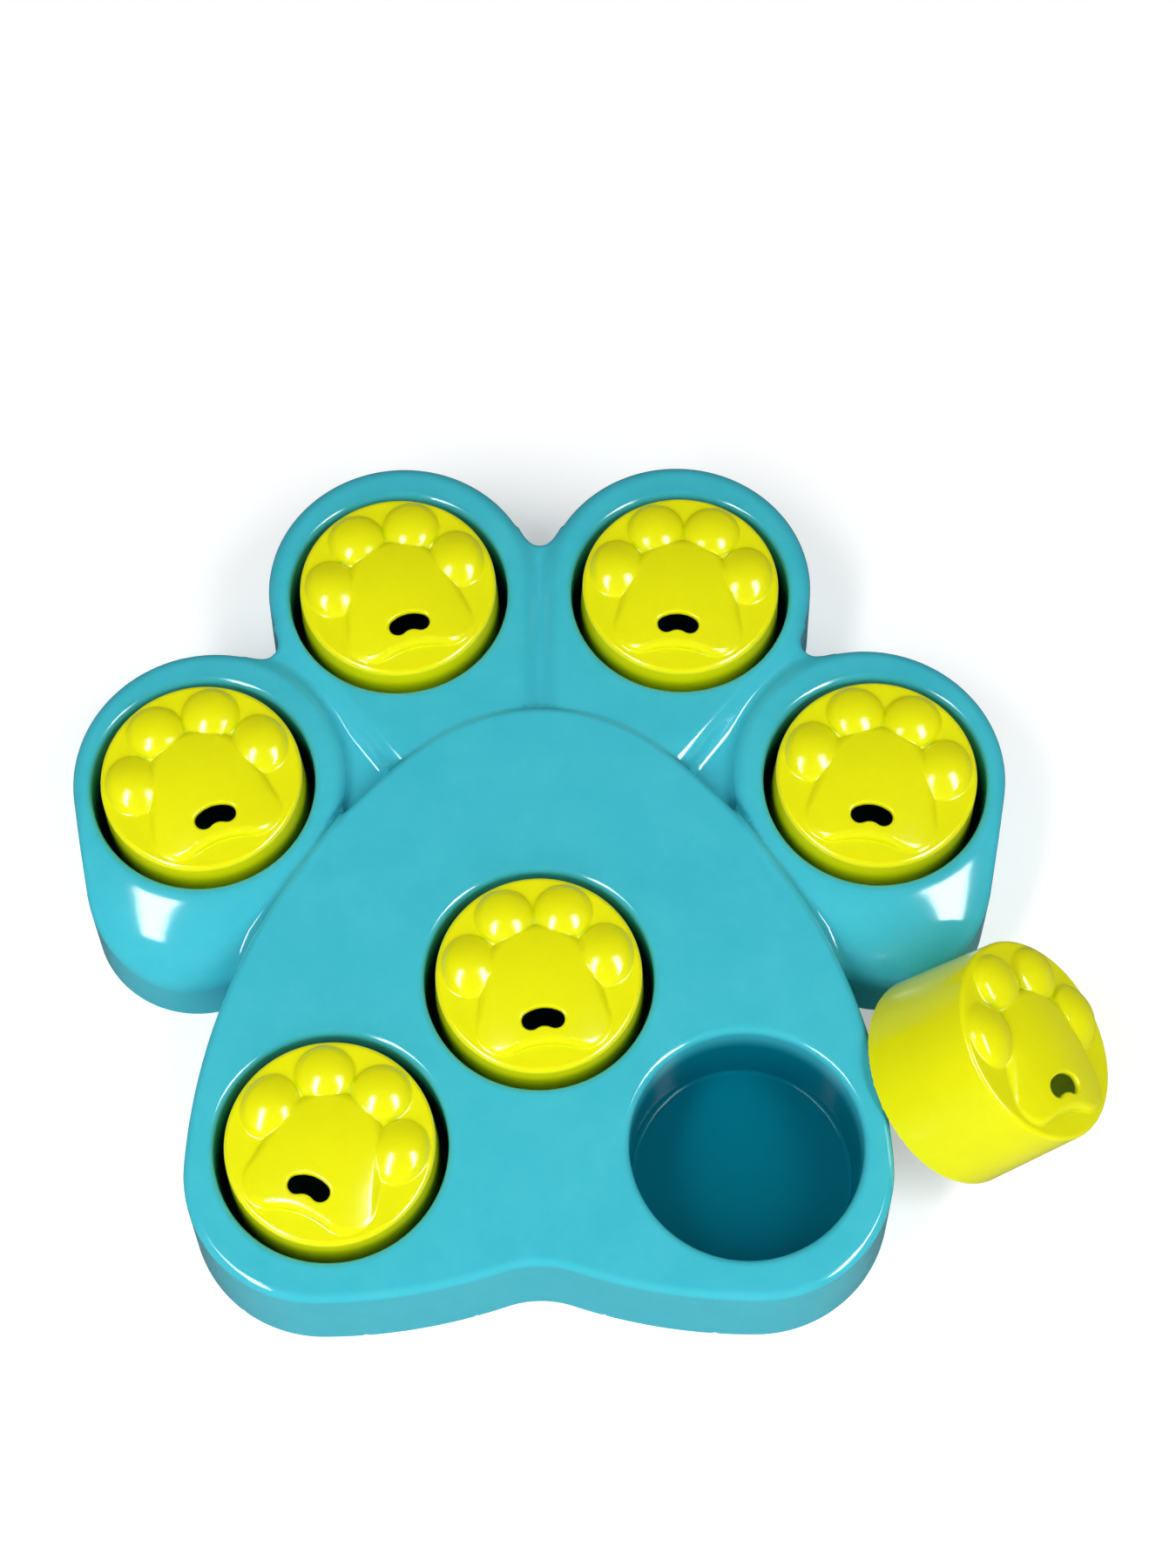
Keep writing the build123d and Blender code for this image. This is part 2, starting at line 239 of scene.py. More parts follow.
def beyond(x, y, a, b):
    """Distance to the right of the way from a to b."""
    way = (b - a) / np.hypot(*(b - a))
    return (x - a[0]) * way[1] - (y - a[1]) * way[0]


# Tray's form
PAD_NOTCH = np.array([0.0, LOBE[1] - math.sqrt((LOBE_RADIUS + PAD_NOTCH_RADIUS) ** 2 - LOBE[0] ** 2)])
SIDE = meeting(CORNER, SIDE_RADIUS - CORNER_RADIUS, REAR, SIDE_RADIUS - REAR_RADIUS)
NOTCH_TURN, CORNER_TURN, SIDE_TURN = bearing(PAD_NOTCH, LOBE), bearing(SIDE, CORNER), bearing(SIDE, REAR)
PAD_ARCS = [
    (PAD_NOTCH, -PAD_NOTCH_RADIUS, NOTCH_TURN, 90.0),
    (LOBE, LOBE_RADIUS, NOTCH_TURN - 180.0, -90.0),
    (CORNER, CORNER_RADIUS, -90.0, CORNER_TURN),
    (SIDE, SIDE_RADIUS, CORNER_TURN, SIDE_TURN),
    (REAR, REAR_RADIUS, SIDE_TURN, 90.0),
]
NOTCH_REACH = TOE_RADIUS - NOTCH_OVERLAP + NOTCH_RADIUS
MIDDLE_NOTCH = np.array([0.0, INNER_TOE[1] + math.sqrt(NOTCH_REACH**2 - INNER_TOE[0] ** 2)])
SIDE_NOTCH = meeting(INNER_TOE, NOTCH_REACH, OUTER_TOE, NOTCH_REACH)
CROWN_PROBE = 0.25


def frontness(x, y):
    """Cosine of the angle between a point seen from an outer well and the way to that toe's front."""
    dx, dy = x - OUTER[0], y - OUTER[1]
    return (dx * FRONT_WAY[0] + dy * FRONT_WAY[1]) / np.maximum(np.hypot(dx, dy), TINY)


def outer_top(x, y):
    """Height of an outer toe's top: level round the well, rolling down to the front."""
    dx, dy = x - OUTER[0], y - OUTER[1]
    r = np.hypot(dx, dy)
    out = np.clip(r - CROWN_CENTRE, CROWN_RADIUS * math.sin(CROWN_SLOPE), CROWN_RADIUS * CROWN_END)
    drop = TOE_TOP - CROWN_BASE - np.sqrt(CROWN_RADIUS**2 - out**2)
    return TOE_TOP - smoothstep(CROWN_SIDE, CROWN_FRONT, frontness(x, y)) * drop


def web_top(x, y):
    """Height of the web between neighbouring toes."""
    way = VALLEY_HIGH - VALLEY_LOW
    share = ((x - VALLEY_LOW[0]) * way[0] + (y - VALLEY_LOW[1]) * way[1]) / (way @ way)
    slope = SIDE_WEB_TOP - SIDE_WEB_FALL * np.clip(1 - share, 0, SIDE_WEB_END) ** SIDE_WEB_POWER
    return np.where(beyond(x, y, INNER_TAIL, INNER_TOE) > 0, slope, MIDDLE_WEB_TOP)


def web_plan(x, y):
    """Outline of the webs: between the inner toes, and between an inner and an outer toe."""
    middle = NOTCH_RADIUS - np.hypot(x, y - MIDDLE_NOTCH[1])
    middle = np.maximum(beyond(x, y, INNER_TOE, MIDDLE_NOTCH), middle)
    diagonal = np.maximum(beyond(x, y, SIDE_NOTCH, INNER_TOE), beyond(x, y, OUTER_TOE, SIDE_NOTCH))
    diagonal = np.maximum(diagonal, NOTCH_RADIUS - circle(x, y, SIDE_NOTCH, 0))
    diagonal = np.maximum(diagonal, beyond(x, y, np.zeros(2), OUTER_TOE))
    return np.where(beyond(x, y, INNER_TAIL, INNER_TOE) > 0, diagonal, middle)


def paw(x, y, z):
    """The paw's outer form, endless downwards."""
    x = np.abs(x)
    c = math.cos(DRAFT)
    spread = (PAD_TOP - z) * math.tan(DRAFT)
    pad_plan = arc_outline(x, y, PAD_ARCS)
    inner_plan = oval(x, y, INNER_TOE, TOE_RADIUS, INNER_TAIL, INNER_TAIL_RADIUS)
    outer_plan = oval(x, y, OUTER_TOE, TOE_RADIUS, OUTER_TAIL, OUTER_TAIL_RADIUS)
    top = outer_top(x, y)
    gx = (outer_top(x + CROWN_PROBE, y) - top) / CROWN_PROBE
    gy = (outer_top(x, y + CROWN_PROBE) - top) / CROWN_PROBE
    steep = np.sqrt(1 + gx**2 + gy**2)
    web = web_top(x, y)
    low = np.maximum(web, TOE_TOP - TOE_FADE_SLOPE * np.maximum(inner_plan + TOE_FADE_INSET, 0))
    low = np.maximum(low, top - TOE_FADE_SLOPE * np.maximum(outer_plan + TOE_FADE_INSET, 0))
    pad_fillet = np.clip(PAD_FILLET_SHARE * (PAD_TOP - low), PAD_FILLET_LEAST, PAD_FILLET_MOST)
    reach = np.maximum(circle(x, y, INNER, 0) - TAIL_REACH, 0)
    inner_top = TOE_TOP - TAIL_FALL * reach**2 * smoothstep(TAIL_EDGE_START, TAIL_EDGE_END, inner_plan)
    inner_body = near_edge((inner_plan - spread) * c, z - inner_top, TOE_ROUND)
    front = smoothstep(SKIRT_SIDE, SKIRT_FRONT, frontness(x, y))
    outer_round = OUTER_ROUND - (OUTER_ROUND - SKIRT_ROUND) * front
    outer_body = near_edge((outer_plan - spread) * c, (z - top) / steep, outer_round)
    web_body = near_edge(web_plan(x, y), z - web, WEB_ROUND)
    body = joined(inner_body, web_body, VALLEY_FILLET)
    body = joined(body, outer_body, OUTER_FILLET)
    pad = near_edge((pad_plan - spread) * c, z - PAD_TOP, PAD_ROUND)
    return joined(body, pad, pad_fillet)


def well(x, y, z, axis, grow):
    """A well's drafted wall, or its cup's outside when grown."""
    radius = WELL_RADIUS - (PAD_TOP - z) * math.tan(WELL_DRAFT) + grow
    return (np.hypot(x - axis[0], y - axis[1]) - radius) * math.cos(WELL_DRAFT)


def tray_form(x, y, z):
    """The tray without its cut at the floor."""
    skin = paw(x, y, z)
    hollow = -(skin + WALL)
    outside = skin
    for axis in WELLS.values():
        inside = near_edge(well(x, y, z, axis, 0), WELL_FLOOR - z, FLOOR_ROUND)
        outside = near_edge(outside, -inside, MOUTH_ROUND)
        cup = np.maximum(well(x, y, z, axis, WALL), WELL_FLOOR - WALL - z)
        hollow = joined(hollow, cup, CUP_FILLET)
    return np.maximum(outside, hollow)


# Lid's form


def heel_plan(x, y):
    """Outline of the heel: an oval to each lobe, filled up to the notch between them."""
    x = np.abs(x)
    body = oval(x, y, HEEL_TOP, HEEL_TOP_RADIUS, HEEL_LOBE, HEEL_LOBE_RADIUS)
    fill = np.maximum(y - HEEL_TOP[1], beyond(x, y, HEEL_NOTCH, HEEL_LOBE))
    fill = np.maximum(fill, HEEL_NOTCH_RADIUS - circle(x, y, HEEL_NOTCH, 0))
    return np.minimum(body, fill)


def relief_field(x, y, z):
    """The raised paw on a lid's face."""
    x = np.abs(x)
    crest = LID_HEIGHT + RELIEF
    fall = np.where(y > HEEL_CREST_Y, HEEL_REAR_FALL, HEEL_FRONT_FALL)
    heel_crest = crest - HEEL_SIDE_FALL * x**2 - fall * (y - HEEL_CREST_Y) ** 2
    heel_round = HEEL_ROUND - HEEL_ROUND_LOSS * smoothstep(HEEL_FRONT_START, HEEL_FRONT_END, y)
    relief = near_edge(heel_plan(HEEL_SQUEEZE * x, y), z - heel_crest, heel_round)
    for centre, size in ((INNER_BUMP, INNER_BUMP_SIZE), (OUTER_BUMP, OUTER_BUMP_SIZE)):
        plan = ellipse(x, y, centre, size) - BUMP_GROWTH
        domed = crest - ((x - centre[0]) ** 2 + (y - centre[1]) ** 2) / BUMP_DOME
        relief = joined(relief, near_edge(plan, z - domed, BUMP_ROUND), CREASE_FILLET)
    return relief


def hole_plan(x, y):
    """Outline of the bean-shaped hole: a slot along an arc."""
    ax, ay = np.abs(x), y - HOLE_Y
    end = HOLE_ARC_RADIUS * np.array([math.sin(HOLE_HALF_ARC), math.cos(HOLE_HALF_ARC)])
    within = ax * end[1] < ay * end[0]
    off_arc = np.abs(np.hypot(ax, ay) - HOLE_ARC_RADIUS)
    return np.where(within, off_arc, np.hypot(ax - end[0], ay - end[1])) - HOLE_WIDTH / 2


def lid_form(x, y, z):
    """A lid without the cut at its rim."""
    side = (np.hypot(x, y) - LID_RIM + z * math.tan(LID_DRAFT)) * math.cos(LID_DRAFT)
    body = near_edge(side, z - LID_HEIGHT, LID_ROUND)
    relief = relief_field(x, y, z)
    body = joined(body, relief, RELIEF_FILLET)
    hollow = near_edge(side + LID_WALL, z - LID_HEIGHT + LID_WALL, LID_HOLLOW_ROUND)
    recess = np.maximum(relief + LID_WALL, LID_HEIGHT - 2 * LID_WALL - z)
    hollow = joined(hollow, recess, RECESS_FILLET)
    hole = np.maximum(hole_plan(x, y), LID_HEIGHT - 2 * LID_WALL - z)
    body = near_edge(body, -hole, HOLE_ROUND)
    return near_edge(body, -hollow, LID_LIP_ROUND)


# Meshing
PROBE, NORMAL_PROBE = 0.05, 0.12
SETTLING_STEPS, LEAST_STEEPNESS, LONGEST_MOVE = 3, 0.1, 0.7
NO_LENGTH = 1e-9
HIDDEN_SHARE, SHOWN_SHARE = 1.0, 0.25
LONG_FACE, LONG_FACE_MATCH, FACE_MATCH = 5, 0.999, 0.5
ALL_WAYS, LEVEL_WAYS = (1, 1, 1), (1, 1, 0)
CELL_CORNERS = [(i, j, k) for i in (0, 1) for j in (0, 1) for k in (0, 1)]
CELL_RING = ((1, 1), (0, 1), (0, 0), (1, 0))


def slope_of(field, points, h):
    """Slope of a field at points, from its values at a distance h on either side."""
    x, y, z = points.T
    gx = field(x + h, y, z) - field(x - h, y, z)
    gy = field(x, y + h, z) - field(x, y - h, z)
    gz = field(x, y, z + h) - field(x, y, z - h)
    return np.stack([gx, gy, gz], 1) / (2 * h)


def cut_cells(inside):
    """Cells of a grid that the surface passes through, and their numbers on the grid."""
    cells = np.array(inside.shape) - 1
    some = np.zeros(cells, bool)
    every = np.ones(cells, bool)
    for i, j, k in CELL_CORNERS:
        corner = inside[i : i + cells[0], j : j + cells[1], k : k + cells[2]]
        some |= corner
        every &= corner
    where = np.argwhere(some & ~every)
    number = np.full(cells, -1, np.int32)
    number[tuple(where.T)] = np.arange(len(where))
    return where, number


def crossings(value, where):
    """Sum and count of the places where the surface crosses the edges of each cut cell."""
    total = np.zeros((len(where), 3))
    count = np.zeros(len(where))
    for a in CELL_CORNERS:
        for axis in range(3):
            if a[axis]:
                continue
            b = list(a)
            b[axis] = 1
            fa = value[tuple((where + a).T)].astype(float)
            fb = value[tuple((where + b).T)].astype(float)
            cross = (fa < 0) != (fb < 0)
            t = np.where(cross, fa / np.where(cross, fa - fb, 1), 0)
            point = where + np.array(a, float)
            point[:, axis] += t
            total += np.where(cross[:, None], point, 0)
            count += cross
    return total, count


def cell_quads(inside, number):
    """A face across each grid edge that the surface crosses, wound outwards."""
    cells = number.shape
    quads = []
    for axis in range(3):
        u, v = (axis + 1) % 3, (axis + 2) % 3
        first = np.take(inside, range(inside.shape[axis] - 1), axis)
        second = np.take(inside, range(1, inside.shape[axis]), axis)
        edges = np.argwhere(first != second)
        within_u = (edges[:, u] > 0) & (edges[:, u] < cells[u])
        within_v = (edges[:, v] > 0) & (edges[:, v] < cells[v])
        edges = edges[within_u & within_v]
        outward = first[tuple(edges.T)]
        ring = []
        for du, dv in CELL_RING:
            cell = edges.copy()
            cell[:, u] -= du
            cell[:, v] -= dv
            ring.append(number[tuple(cell.T)])
        ring = np.stack(ring, 1)
        quads.append(np.where(outward[:, None], ring, ring[:, ::-1]))
    return np.concatenate(quads)


def way_off(field, points, ways):
    """How far points lie off a field's zero level, along the axes that are open to them."""
    slope = slope_of(field, points, PROBE) * ways
    return field(*points.T)[:, None] * slope / np.maximum((slope**2).sum(1), LEAST_STEEPNESS)[:, None]


def quad_mesh(name, points, quads):
    """Mesh in metres from points in millimetres."""
    mesh = bpy.data.meshes.new(name)
    mesh.vertices.add(len(points))
    mesh.vertices.foreach_set("co", (points * MM).astype(np.float32).ravel())
    mesh.loops.add(quads.size)
    mesh.loops.foreach_set("vertex_index", quads.ravel().astype(np.int32))
    mesh.polygons.add(len(quads))
    mesh.polygons.foreach_set("loop_start", np.arange(0, quads.size, 4, dtype=np.int32))
    mesh.polygons.foreach_set("loop_total", np.full(len(quads), 4, np.int32))
    mesh.update()
    mesh.validate()
    return mesh


def surface_mesh(name, form, grid, cell):
    """Mesh of a form cut at the floor: a grid's vertices moved onto the form's zero level."""

    def field(x, y, z):
        return np.maximum(form(x, y, z), -z)

    axes = [np.arange(start, end + cell, cell) for start, end in zip(*grid)]
    value = field(axes[0][:, None, None], axes[1][None, :, None], axes[2][None, None, :]).astype(np.float32)
    inside = value < 0
    where, number = cut_cells(inside)
    total, count = crossings(value, where)
    points = np.array([a[0] for a in axes]) + cell * total / count[:, None]
    for _ in range(SETTLING_STEPS):
        move = way_off(field, points, ALL_WAYS)
        size = np.linalg.norm(move, axis=1, keepdims=True)
        points = points - move * np.minimum(1, LONGEST_MOVE * cell / np.maximum(size, NO_LENGTH))
    base = (np.abs(points[:, 2]) < cell / 2) & (np.abs(form(*points.T)) < cell / 2)
    edge = points[base] * LEVEL_WAYS
    for _ in range(SETTLING_STEPS):
        edge = edge - way_off(form, edge, LEVEL_WAYS)
    points[base] = edge
    return quad_mesh(name, points, cell_quads(inside, number))


def values(items, key, kind, width=1):
    """One value of every item of a mesh, in a row."""
    found = np.zeros(len(items) * width, kind)
    items.foreach_get(key, found)
    return found


def places(mesh):
    """Coordinates of the vertices in millimetres."""
    return values(mesh.vertices, "co", np.float32, 3).reshape(-1, 3).T.astype(float) / MM


def thin_out(obj, faces, hidden):
    """Fewer triangles, mostly on the sides that a function of the place calls hidden."""
    group = obj.vertex_groups.new(name="Fewer")
    away = hidden(*places(obj.data))
    group.add(np.flatnonzero(away).tolist(), HIDDEN_SHARE, "REPLACE")
    group.add(np.flatnonzero(~away).tolist(), SHOWN_SHARE, "REPLACE")
    now = sum(len(p.vertices) - 2 for p in obj.data.polygons)
    modifier = obj.modifiers.new("Fewer", "DECIMATE")
    modifier.ratio = min(1, faces / now)
    modifier.vertex_group = group.name
    modifier.vertex_group_factor = 1.0
    graph = bpy.context.evaluated_depsgraph_get()
    mesh = bpy.data.meshes.new_from_object(obj.evaluated_get(graph))
    obj.modifiers.remove(modifier)
    points = places(mesh).T
    points[:, 2] = np.maximum(points[:, 2], 0)
    mesh.vertices.foreach_set("co", (points * MM).astype(np.float32).ravel())
    mesh.update()
    obj.data = mesh
    obj.vertex_groups.clear()


def smooth(mesh, field):
    """Smooth shading with the field's own normals, or with a face's own where the two are far apart.

    A long face keeps the field's normals only where they agree closely with its own.
    """
    points = places(mesh).T
    slope = slope_of(field, points, NORMAL_PROBE)
    slope /= np.maximum(np.linalg.norm(slope, axis=1, keepdims=True), NO_LENGTH)
    mesh.polygons.foreach_set("use_smooth", np.ones(len(mesh.polygons), bool))
    count = values(mesh.polygons, "loop_total", np.int32)
    flat = np.repeat(values(mesh.polygons, "normal", np.float32, 3).reshape(-1, 3), count, axis=0)
    normals = slope[values(mesh.loops, "vertex_index", np.int32)]
    ends = values(mesh.edges, "vertices", np.int32, 2)
    length = np.linalg.norm(points[ends[0::2]] - points[ends[1::2]], axis=1)
    sides = length[values(mesh.loops, "edge_index", np.int32)]
    longest = np.maximum.reduceat(sides, np.cumsum(count) - count)
    match = np.where(np.repeat(longest, count) > LONG_FACE, LONG_FACE_MATCH, FACE_MATCH)
    far = (normals * flat).sum(1) < match
    normals[far] = flat[far]
    mesh.normals_split_custom_set([tuple(n) for n in normals])


def mark(mesh, name, amount):
    """A named amount at every vertex, for the materials."""
    layer = mesh.attributes.new(name, "FLOAT", "POINT")
    layer.data.foreach_set("value", amount.astype(np.float32))


def mark_painted_shade(mesh, walls):
    """Mark of the walls that take painted shade, darker downwards, from a function of the place."""
    mark(mesh, "wall", walls(*places(mesh)))


def mark_creases(mesh, field, reach):
    """Mark of the creases for the painted shade in them, by how near the surface comes again to a point
    lifted off it.
    """
    points = places(mesh).T
    slopes = slope_of(field, points, PROBE)
    lifted = points + reach * slopes / np.linalg.norm(slopes, axis=1, keepdims=True)
    mark(mesh, "crease", np.clip(1 - field(*lifted.T) / reach, 0, 1))


def new_object(name, data):
    obj = bpy.data.objects.new(name, data)
    bpy.context.scene.collection.objects.link(obj)
    return obj


# Materials: linear colours, and heights in millimetres
# deep and light are the ends of the random clouding; hollow is painted shade, laid on the marked walls
# below the rim and in creases (on the lids greener as well as darker)
TURQUOISE = {"deep": (0.03, 0.43, 0.54), "light": (0.075, 0.55, 0.66), "hollow": (0.0, 0.16, 0.23)}
TURQUOISE_RIM, TURQUOISE_ROUGHNESS = PAD_TOP - 2, 0.1
LIME = {"deep": (0.74, 0.74, 0.001), "light": (0.86, 0.86, 0.002), "hollow": (0.6, 0.7, 0.001)}
LIME_RIM, LIME_ROUGHNESS = LID_HEIGHT - 0.5, 0.15
DEPTH_FADE = 12
# How strongly the painted shade in creases turns the colour towards hollow
PAINTED_CREASE_SHADE = 0.8
SHINE, DEEP_SHINE = 0.5, 0.1
GLOSS_BELOW, GLOSS_ABOVE = 0.04, 0.05
PLASTIC_IOR = 1.5
CLOUD = {"Scale": 45.0, "Detail": 7.0, "Roughness": 0.75}
GRAIN = {"Scale": 900.0, "Detail": 2.0}
WAVE = {"Scale": 140.0, "Detail": 2.0}
SINK = {"Strength": 0.06, "Distance": 0.0006}
WHITE = (1, 1, 1, 1)


def node(tree, kind, inputs, **settings):
    """A node with its settings, whose inputs are values or the outputs that feed them."""
    made = tree.nodes.new(kind)
    for key, value in settings.items():
        setattr(made, key, value)
    for key, value in inputs.items():
        if isinstance(value, bpy.types.NodeSocket):
            tree.links.new(value, made.inputs[key])
        else:
            made.inputs[key].default_value = value
    return made


def noise(tree, place, kind):
    return node(tree, "ShaderNodeTexNoise", {"Vector": place, **kind}).outputs["Fac"]


def blend(tree, share, first, second):
    """A colour between two others."""
    inputs = {"Factor": share, "A": first, "B": second}
    return node(tree, "ShaderNodeMix", inputs, data_type="RGBA").outputs["Result"]


def spread(tree, share, low, high):
    """A number between two others."""
    inputs = {"Value": share, "To Min": low, "To Max": high}
    return node(tree, "ShaderNodeMapRange", inputs).outputs["Result"]


def vertex_mark(tree, name):
    return node(tree, "ShaderNodeAttribute", {}, attribute_name=name).outputs["Fac"]


def material(name):
    mat = bpy.data.materials.new(name)
    mat.use_nodes = True
    tree = mat.node_tree
    tree.nodes.clear()
    out = tree.nodes.new("ShaderNodeOutputMaterial")
    shader = tree.nodes.new("ShaderNodeBsdfPrincipled")
    tree.links.new(shader.outputs["BSDF"], out.inputs["Surface"])
    return mat, tree, shader


def plastic(name, deep, light, hollow, rim, rough):
    """Glossy moulded plastic: faint clouding, painted shade below a rim and in creases, uneven gloss and a
    little sink.
    """
    mat, tree, shader = material(name)
    place = node(tree, "ShaderNodeTexCoord", {}).outputs["Object"]
    height = node(tree, "ShaderNodeSeparateXYZ", {"Vector": place}).outputs["Z"]
    # Painted shade: below the rim the colour turns towards hollow, darker downwards, wherever the wall mark
    # is set
    fade = {
        "Value": height,
        "From Min": rim * MM,
        "From Max": (rim - DEPTH_FADE) * MM,
        "To Max": vertex_mark(tree, "wall"),
    }
    depth = node(tree, "ShaderNodeMapRange", fade, interpolation_type="SMOOTHSTEP").outputs["Result"]
    # Painted shade in creases, taken together with the painted shade below the rim
    crease = {0: vertex_mark(tree, "crease"), 1: PAINTED_CREASE_SHADE}
    shade = node(tree, "ShaderNodeMath", crease, operation="MULTIPLY").outputs[0]
    painted_shade = node(tree, "ShaderNodeMath", {0: shade, 1: depth}, operation="MAXIMUM").outputs[0]
    tint = blend(tree, noise(tree, place, CLOUD), (*deep, 1), (*light, 1))
    sink = node(tree, "ShaderNodeBump", {"Height": noise(tree, place, WAVE), **SINK})
    sources = {
        "Base Color": blend(tree, painted_shade, tint, (*hollow, 1)),
        "Roughness": spread(tree, noise(tree, place, GRAIN), rough - GLOSS_BELOW, rough + GLOSS_ABOVE),
        "Specular IOR Level": spread(tree, depth, SHINE, DEEP_SHINE),
        "Normal": sink.outputs["Normal"],
    }
    for socket, source in sources.items():
        tree.links.new(source, shader.inputs[socket])
    shader.inputs["IOR"].default_value = PLASTIC_IOR
    return mat


turquoise = plastic("turquoise_plastic", **TURQUOISE, rim=TURQUOISE_RIM, rough=TURQUOISE_ROUGHNESS)
lime = plastic("lime_plastic", **LIME, rim=LIME_RIM, rough=LIME_ROUGHNESS)

# Pieces: the room that each form needs, the grid's cells and the faces that are kept
TRAY_GRID, LID_GRID = ((-156, -107, -1.5), (156, 189, 42)), ((-36, -36, -1), (36, 36, 45))
FULL_CELL, QUICK_CELL, LID_CELL_SHARE = 1.0, 1.6, 0.5
TRAY_FACES, LID_FACES = 160000, 60000
TRAY_CREASE, LID_CREASE = 2.0, 1.6
WELL_MARGIN = 1


def in_a_well(x, y, z):
    return np.min([well(x, y, z, axis, 0) for axis in WELLS.values()], axis=0) < WELL_MARGIN


def under_the_tray(x, y, z):
    return (paw(x, y, z) < -WALL / 2) & ~in_a_well(x, y, z)


def inside_the_lid(x, y, z):
    side = np.hypot(x, y) - LID_RIM + z * math.tan(LID_DRAFT)
    return (side < -LID_WALL / 2) & (z < LID_HEIGHT - LID_WALL / 2)


def below_the_face(x, y, z):
    return z < LID_HEIGHT


def turn_about(axis, degrees):
    return Matrix.Rotation(math.radians(degrees), 4, axis)


def leaning():
    """Place of the loose lid: its rim just clear of the floor, its open side towards the pad."""
    elevation, azimuth = math.radians(LEAN_ELEVATION), math.radians(LEAN_AZIMUTH)
    run = LID_RIM * math.sin(elevation)
    centre = (
        CORNER[0] + CORNER_RADIUS - LEAN_INSET + run * math.cos(azimuth),
        CORNER[1] + LEAN_ALONG + run * math.sin(azimuth),
        LID_RIM * math.cos(elevation) + LEAN_LIFT,
    )
    up = turn_about("Z", LEAN_AZIMUTH) @ turn_about("Y", 90 - LEAN_ELEVATION)
    turned = up @ turn_about("Z", LEAN_TURN)
    return Matrix.Translation(Vector(centre) * MM) @ turned


coarse = FULL_CELL
tray = new_object("paw_tray", surface_mesh("paw_tray", tray_form, TRAY_GRID, coarse))
thin_out(tray, TRAY_FACES, under_the_tray)
smooth(tray.data, tray_form)
# Painted shade in the tray's creases
mark_creases(tray.data, tray_form, TRAY_CREASE)
# Painted shade on the wells' walls below the rim
mark_painted_shade(tray.data, in_a_well)
tray.data.materials.append(turquoise)
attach(tray, "tray")
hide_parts("tray")

first = new_object("cup_lid_centre", surface_mesh("cup_lid", lid_form, LID_GRID, LID_CELL_SHARE * coarse))
thin_out(first, LID_FACES, inside_the_lid)
smooth(first.data, lid_form)
# Painted shade in the lid's creases
mark_creases(first.data, lid_form, LID_CREASE)
loose_mesh = first.data.copy()
# Painted shade on the seated lids' sides, which sit in the wells; the loose lid's copy has none
mark_painted_shade(first.data, below_the_face)
for mesh in (first.data, loose_mesh):
    mesh.materials.append(lime)
for place in WELLS:
    lid = first if place == "centre" else new_object("cup_lid_" + place, first.data)
    low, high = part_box("lid_" + place)
    if place == "front_right":
        lid.data = loose_mesh
        lid.data.transform(leaning())
    else:
        middle = (low + high) / 2
        seat = Matrix.Translation((middle.x, middle.y, low.z))
        lid.matrix_world = seat @ turn_about("Z", LID_TURNS[place])
    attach(lid, "lid_" + place)
    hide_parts("lid_" + place)

# Floor: pale to the camera, dim in the gloss
FLOOR_SIZE, FLOOR_ROUGHNESS, FLOOR_LIFT = 8.0, 0.6, 0.35
FLOOR_TONE, FLOOR_GLOSS_TONE = (0.85, 0.85, 0.85, 1), (0.1, 0.1, 0.1, 1)

half = FLOOR_SIZE / 2
floor_mesh = bpy.data.meshes.new("floor")
corners = [(-half, -half, 0), (half, -half, 0), (half, half, 0), (-half, half, 0)]
floor_mesh.from_pydata(corners, [], [(0, 1, 2, 3)])
floor = new_object("floor", floor_mesh)
mat, tree, shader = material("pale_floor")
path = node(tree, "ShaderNodeLightPath", {})
lift = node(tree, "ShaderNodeMath", {0: path.outputs["Is Camera Ray"], 1: FLOOR_LIFT}, operation="MULTIPLY")
shown = blend(tree, path.outputs["Is Glossy Ray"], FLOOR_TONE, FLOOR_GLOSS_TONE)
tree.links.new(shown, shader.inputs["Base Color"])
tree.links.new(lift.outputs[0], shader.inputs["Emission Strength"])
shader.inputs["Emission Color"].default_value = WHITE
shader.inputs["Roughness"].default_value = FLOOR_ROUGHNESS
floor_mesh.materials.append(mat)

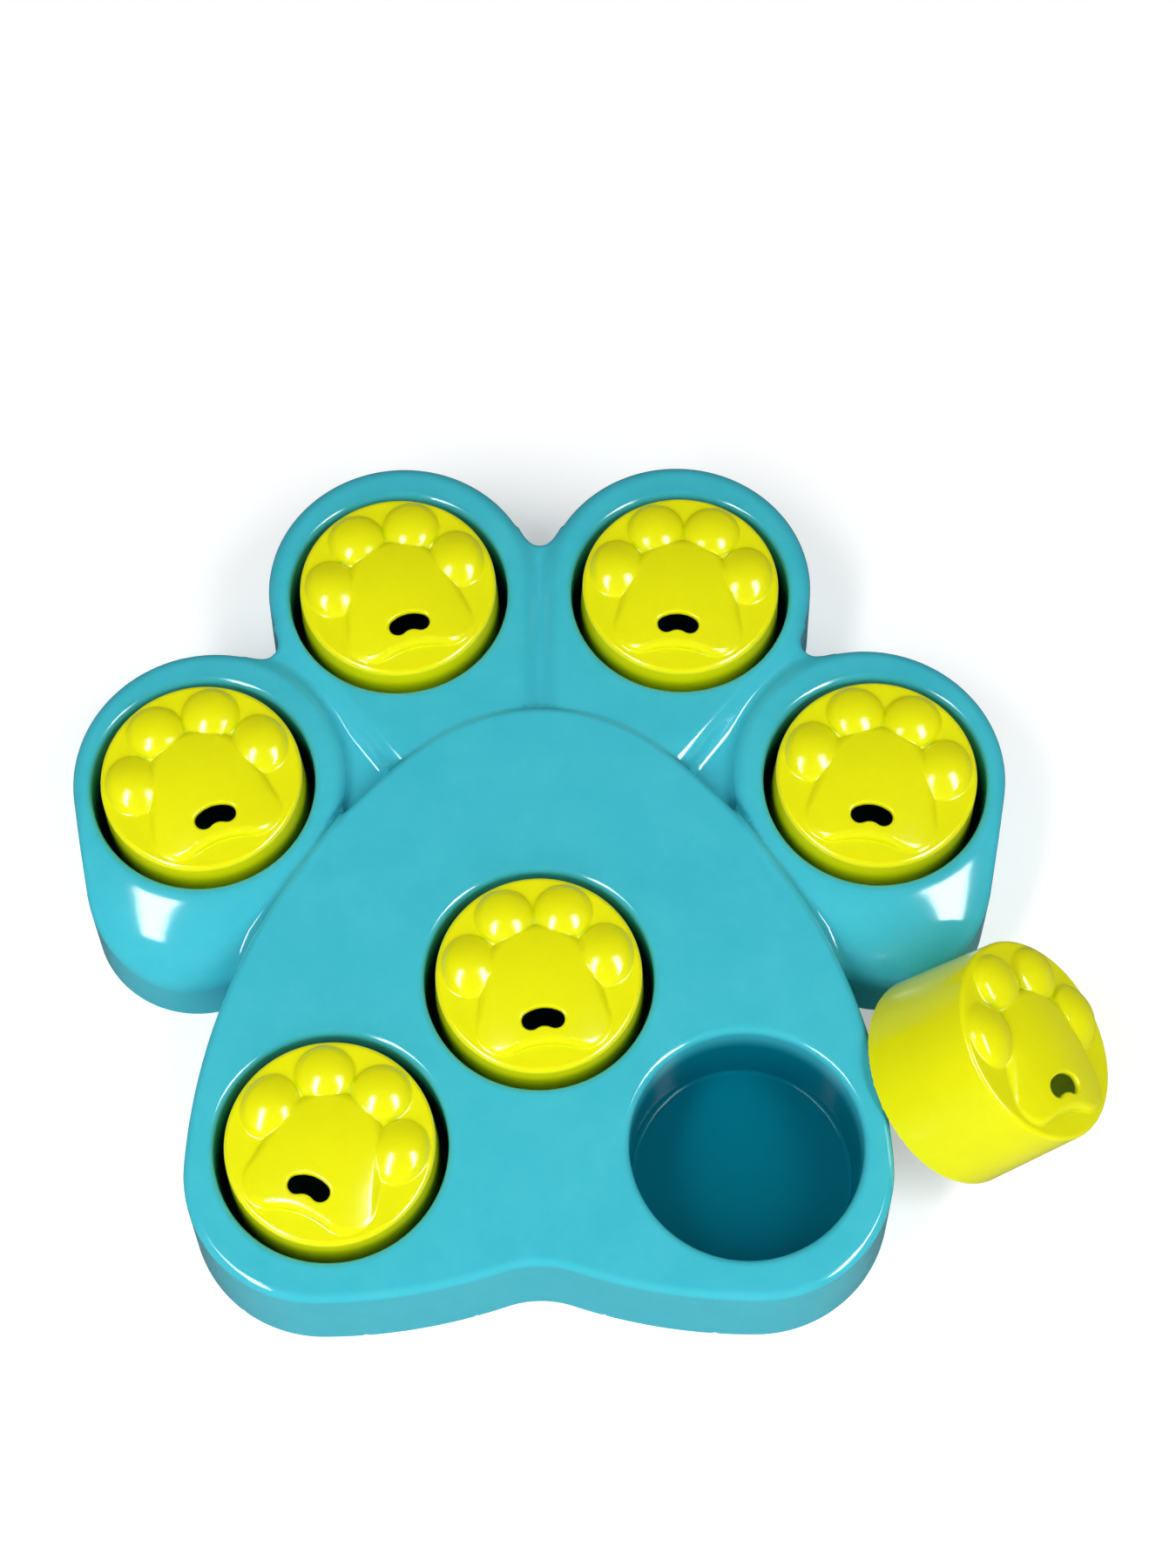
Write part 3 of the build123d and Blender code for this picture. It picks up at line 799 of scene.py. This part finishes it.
# Two softboxes, each a lamp for the colours and a brighter card for the gloss: name, centre, size,
# turn in degrees and the lamp's brightness
SOFTBOXES = (
    ("left", (-0.64, -0.57, 1.1), (0.24, 1.15), -21, 12.2),
    ("right", (0.85, -0.52, 1.1), (0.3, 1.3), 30, 7.8),
)
CARD_BRIGHTNESS, LAMP_DROP = 22, 0.02
FILL_CENTRE, FILL_SIZE, FILL_BRIGHTNESS, FILL_TILT = (0, -1.6, 0.7), (2.0, 0.9), 2.1, 70
SKY_LEVEL, SKY_GLOSS_LEVEL = 0.3, 0.06


def softbox(name, centre, size, brightness, turn):
    """A soft light of an even brightness that looks straight down, turned about the vertical."""
    light = bpy.data.lights.new(name, "AREA")
    light.shape = "RECTANGLE"
    light.size, light.size_y = size
    light.energy = brightness * math.pi * size[0] * size[1]
    obj = new_object(name, light)
    obj.location = centre
    obj.rotation_euler = (0, 0, math.radians(turn))
    return obj


for name, centre, size, turn, brightness in SOFTBOXES:
    lamp = softbox(name + "_lamp", centre, size, brightness, turn)
    lamp.visible_glossy = False
    lamp.location.z -= LAMP_DROP
    card = softbox(name + "_card", centre, size, CARD_BRIGHTNESS, turn)
    card.visible_diffuse = False
fill = softbox("front_fill", FILL_CENTRE, FILL_SIZE, FILL_BRIGHTNESS, 0)
fill.rotation_euler = (math.radians(FILL_TILT), 0, 0)
fill.visible_glossy = False

world = bpy.data.worlds.new("Studio")
bpy.context.scene.world = world
world.use_nodes = True
tree = world.node_tree
sky = tree.nodes["Background"]
sky.inputs["Color"].default_value = WHITE
path = node(tree, "ShaderNodeLightPath", {})
level = spread(tree, path.outputs["Is Glossy Ray"], SKY_LEVEL, SKY_GLOSS_LEVEL)
tree.links.new(level, sky.inputs["Strength"])

# Camera: lens and sensor in millimetres, angles in degrees
LENS, SENSOR_WIDTH = 69.6, 36
CAMERA_PLACE, CAMERA_TILT, CAMERA_TURN = (0.0136, -0.3266, 0.9386), 23.63, -0.32

cam = bpy.data.cameras.new("Camera")
cam.sensor_width = SENSOR_WIDTH
cam.sensor_fit = "AUTO"
cam.lens = LENS
camera = new_object("Camera", cam)
camera.location = CAMERA_PLACE
camera.rotation_euler = (math.radians(CAMERA_TILT), 0, math.radians(CAMERA_TURN))
bpy.context.scene.camera = camera

bpy.context.scene.view_settings.view_transform = "Standard"
